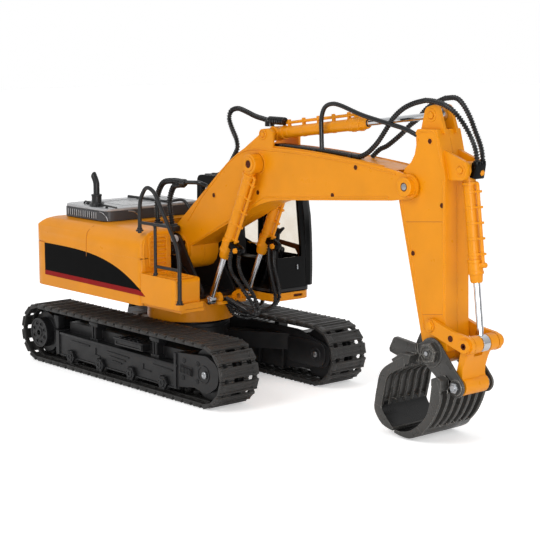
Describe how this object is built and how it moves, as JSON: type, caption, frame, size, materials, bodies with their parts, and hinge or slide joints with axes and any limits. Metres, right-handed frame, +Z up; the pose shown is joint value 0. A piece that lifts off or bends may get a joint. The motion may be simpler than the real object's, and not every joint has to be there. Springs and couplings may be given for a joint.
{
  "type": "radio-controlled excavator with log grab",
  "caption": "Tracked toy excavator with a closed cab, a two-part digging arm driven by dummy cylinders, and a ribbed log grab.",
  "frame": {"origin": "on the ground, below the middle of the overall length and width, with the arm in the rest pose", "axes": "+X forward, from the counterweight towards the grab; +Y to the machine's left, the cab side; +Z up"},
  "size_m": [0.5498, 0.18, 0.2757],
  "materials": {
    "yellow_shell": "semi-gloss",
    "black_plastic": "satin",
    "gloss_black_plastic": "gloss",
    "grey_plastic": "satin",
    "track_rubber": "matte",
    "hose_rubber": "satin",
    "chrome_rod": "polished",
    "steel_hardware": "satin",
    "grab_metal": "satin",
    "motor_casing": "satin",
    "battery_wrap": "gloss",
    "board_green": "satin"
  },
  "bodies": {
    "undercarriage": {"chassis_frame": "black_plastic", "swing_bearing": "black_plastic", "track_frame_right": "black_plastic", "track_belt_right": "track_rubber", "drive_motor_right": "motor_casing", "track_frame_left": "black_plastic", "track_belt_left": "track_rubber", "drive_motor_left": "motor_casing"},
    "drive_wheel_right": {"sprocket_right": "black_plastic"},
    "idler_wheel_right": {"idler_right": "black_plastic"},
    "roller_wheel_right_1": {"roller_right_1": "black_plastic"},
    "roller_wheel_right_2": {"roller_right_2": "black_plastic"},
    "roller_wheel_right_3": {"roller_right_3": "black_plastic"},
    "roller_wheel_right_4": {"roller_right_4": "black_plastic"},
    "drive_wheel_left": {"sprocket_left": "black_plastic"},
    "idler_wheel_left": {"idler_left": "black_plastic"},
    "roller_wheel_left_1": {"roller_left_1": "black_plastic"},
    "roller_wheel_left_2": {"roller_left_2": "black_plastic"},
    "roller_wheel_left_3": {"roller_left_3": "black_plastic"},
    "roller_wheel_left_4": {"roller_left_4": "black_plastic"},
    "upper": {"turntable_drum": "yellow_shell", "house_floor": "yellow_shell", "house_shell": "yellow_shell", "engine_hood": "grey_plastic", "exhaust_pipe": "black_plastic", "toolbox": "yellow_shell", "handrail": "black_plastic", "hood_rail": "black_plastic", "house_hoses": "hose_rubber", "boom_bracket": "black_plastic", "cab_skirt": "yellow_shell", "cab_shell": "gloss_black_plastic", "cab_seat": "black_plastic", "cab_controls": "black_plastic", "battery_pack": "battery_wrap", "circuit_board": "board_green", "swing_motor": "motor_casing", "lift_gearbox": "motor_casing", "boom_foot_pin": "steel_hardware"},
    "boom": {"boom_half_right": "yellow_shell", "boom_half_left": "yellow_shell", "boom_motor": "motor_casing", "arm_pivot_pin": "steel_hardware"},
    "boom_rod_right": {"boom_cylinder_rod_right": "chrome_rod"},
    "boom_tube_right": {"boom_cylinder_tube_right": "yellow_shell"},
    "boom_rod_left": {"boom_cylinder_rod_left": "chrome_rod"},
    "boom_tube_left": {"boom_cylinder_tube_left": "yellow_shell"},
    "arm": {"arm_half_right": "yellow_shell", "arm_half_left": "yellow_shell", "arm_motor": "motor_casing", "jaw_bolt": "grab_metal"},
    "arm_tube": {"arm_cylinder_tube": "yellow_shell"},
    "arm_rod": {"arm_cylinder_rod": "chrome_rod"},
    "front_jaw_body": {"front_jaw": "grab_metal", "crank_bolt": "steel_hardware"},
    "rear_jaw_body": {"rear_jaw": "grab_metal"},
    "levers": {"link_levers": "yellow_shell"},
    "link": {"push_link": "yellow_shell"},
    "grab_tube": {"grab_cylinder_tube": "yellow_shell"},
    "grab_rod": {"grab_cylinder_rod": "chrome_rod"}
  },
  "joints": [
    {"name": "travel_right", "type": "hinge", "parent": "undercarriage", "child": "drive_wheel_right", "pos_m": [-0.24532, 0, 0.0296], "axis": [0, 1, 0], "continuous": true},
    {"name": "idler_turn_right", "type": "hinge", "parent": "undercarriage", "child": "idler_wheel_right", "pos_m": [0.01868, 0, 0.0296], "axis": [0, 1, 0], "continuous": true},
    {"name": "roller_turn_right_1", "type": "hinge", "parent": "undercarriage", "child": "roller_wheel_right_1", "pos_m": [-0.19132, 0, 0.0128], "axis": [0, 1, 0], "continuous": true},
    {"name": "roller_turn_right_2", "type": "hinge", "parent": "undercarriage", "child": "roller_wheel_right_2", "pos_m": [-0.14132, 0, 0.0128], "axis": [0, 1, 0], "continuous": true},
    {"name": "roller_turn_right_3", "type": "hinge", "parent": "undercarriage", "child": "roller_wheel_right_3", "pos_m": [-0.09132, 0, 0.0128], "axis": [0, 1, 0], "continuous": true},
    {"name": "roller_turn_right_4", "type": "hinge", "parent": "undercarriage", "child": "roller_wheel_right_4", "pos_m": [-0.04132, 0, 0.0128], "axis": [0, 1, 0], "continuous": true},
    {"name": "travel_left", "type": "hinge", "parent": "undercarriage", "child": "drive_wheel_left", "pos_m": [-0.24532, 0, 0.0296], "axis": [0, 1, 0], "continuous": true},
    {"name": "idler_turn_left", "type": "hinge", "parent": "undercarriage", "child": "idler_wheel_left", "pos_m": [0.01868, 0, 0.0296], "axis": [0, 1, 0], "continuous": true},
    {"name": "roller_turn_left_1", "type": "hinge", "parent": "undercarriage", "child": "roller_wheel_left_1", "pos_m": [-0.19132, 0, 0.0128], "axis": [0, 1, 0], "continuous": true},
    {"name": "roller_turn_left_2", "type": "hinge", "parent": "undercarriage", "child": "roller_wheel_left_2", "pos_m": [-0.14132, 0, 0.0128], "axis": [0, 1, 0], "continuous": true},
    {"name": "roller_turn_left_3", "type": "hinge", "parent": "undercarriage", "child": "roller_wheel_left_3", "pos_m": [-0.09132, 0, 0.0128], "axis": [0, 1, 0], "continuous": true},
    {"name": "roller_turn_left_4", "type": "hinge", "parent": "undercarriage", "child": "roller_wheel_left_4", "pos_m": [-0.04132, 0, 0.0128], "axis": [0, 1, 0], "continuous": true},
    {"name": "swing", "type": "hinge", "parent": "undercarriage", "child": "upper", "pos_m": [-0.10662, 0, 0.06], "axis": [0, 0, 1], "continuous": true},
    {"name": "boom_lift", "type": "hinge", "parent": "upper", "child": "boom", "pos_m": [-0.10392, 0, 0.1242], "axis": [0, -1, 0], "range_deg": [-25, 20]},
    {"name": "boom_rod_tilt_right", "type": "hinge", "parent": "upper", "child": "boom_rod_right", "pos_m": [-0.04782, -0.0228, 0.082], "axis": [0, -1, 0], "range_deg": [-24, 20]},
    {"name": "boom_tube_travel_right", "type": "slide", "parent": "boom_rod_right", "child": "boom_tube_right", "axis": [0.4169, 0, 0.909], "range_m": [-0.031, 0.025]},
    {"name": "boom_rod_tilt_left", "type": "hinge", "parent": "upper", "child": "boom_rod_left", "pos_m": [-0.04782, 0.0228, 0.082], "axis": [0, -1, 0], "range_deg": [-24, 20]},
    {"name": "boom_tube_travel_left", "type": "slide", "parent": "boom_rod_left", "child": "boom_tube_left", "axis": [0.4169, 0, 0.909], "range_m": [-0.031, 0.025]},
    {"name": "arm_swing", "type": "hinge", "parent": "boom", "child": "arm", "pos_m": [0.20068, 0, 0.2085], "axis": [0, -1, 0], "range_deg": [-20, 25]},
    {"name": "arm_tube_tilt", "type": "hinge", "parent": "boom", "child": "arm_tube", "pos_m": [0.02048, 0, 0.2418], "axis": [0, -1, 0], "range_deg": [-5, 5]},
    {"name": "arm_rod_travel", "type": "slide", "parent": "arm_tube", "child": "arm_rod", "axis": [0.9919, 0, 0.1271], "range_m": [-0.026, 0.021]},
    {"name": "jaw_open", "type": "hinge", "parent": "arm", "child": "front_jaw_body", "pos_m": [0.23068, 0, 0.075], "axis": [0, -1, 0], "range_deg": [0, 45]},
    {"name": "rear_jaw_tilt", "type": "hinge", "parent": "arm", "child": "rear_jaw_body", "pos_m": [0.23068, 0, 0.075], "axis": [0, -1, 0], "range_deg": [-25, 0]},
    {"name": "lever_tilt", "type": "hinge", "parent": "arm", "child": "levers", "pos_m": [0.22868, 0, 0.097], "axis": [0, -1, 0], "range_deg": [0, 40]},
    {"name": "push_link_turn", "type": "hinge", "parent": "levers", "child": "link", "pos_m": [0.26768, 0, 0.086], "axis": [0, -1, 0], "range_deg": [-22, 0]},
    {"name": "grab_tube_tilt", "type": "hinge", "parent": "arm", "child": "grab_tube", "pos_m": [0.25068, 0, 0.225], "axis": [0, -1, 0], "range_deg": [-3, 3]},
    {"name": "grab_rod_travel", "type": "slide", "parent": "grab_tube", "child": "grab_rod", "axis": [0.1214, 0, -0.9926], "range_m": [-0.028, 0.001]}
  ],
  "couplings": [
    {"joint": "idler_turn_right", "follows": "travel_right", "ratio": 1},
    {"joint": "roller_turn_right_1", "follows": "travel_right", "ratio": 3.3151},
    {"joint": "roller_turn_right_2", "follows": "travel_right", "ratio": 3.3151},
    {"joint": "roller_turn_right_3", "follows": "travel_right", "ratio": 3.3151},
    {"joint": "roller_turn_right_4", "follows": "travel_right", "ratio": 3.3151},
    {"joint": "idler_turn_left", "follows": "travel_left", "ratio": 1},
    {"joint": "roller_turn_left_1", "follows": "travel_left", "ratio": 3.3151},
    {"joint": "roller_turn_left_2", "follows": "travel_left", "ratio": 3.3151},
    {"joint": "roller_turn_left_3", "follows": "travel_left", "ratio": 3.3151},
    {"joint": "roller_turn_left_4", "follows": "travel_left", "ratio": 3.3151},
    {"joint": "boom_rod_tilt_right", "follows": "boom_lift", "ratio": 0.9164},
    {"joint": "boom_tube_travel_right", "follows": "boom_lift", "m_per_rad": 0.06773},
    {"joint": "boom_rod_tilt_left", "follows": "boom_lift", "ratio": 0.9164},
    {"joint": "boom_tube_travel_left", "follows": "boom_lift", "m_per_rad": 0.06773},
    {"joint": "arm_tube_tilt", "follows": "arm_swing", "ratio": 0.0977},
    {"joint": "arm_rod_travel", "follows": "arm_swing", "m_per_rad": -0.05626},
    {"joint": "lever_tilt", "follows": "jaw_open", "ratio": 0.8776},
    {"joint": "push_link_turn", "follows": "jaw_open", "ratio": -0.4712},
    {"joint": "grab_tube_tilt", "follows": "jaw_open", "ratio": 0.0318},
    {"joint": "grab_rod_travel", "follows": "jaw_open", "m_per_rad": -0.0346}
  ]
}
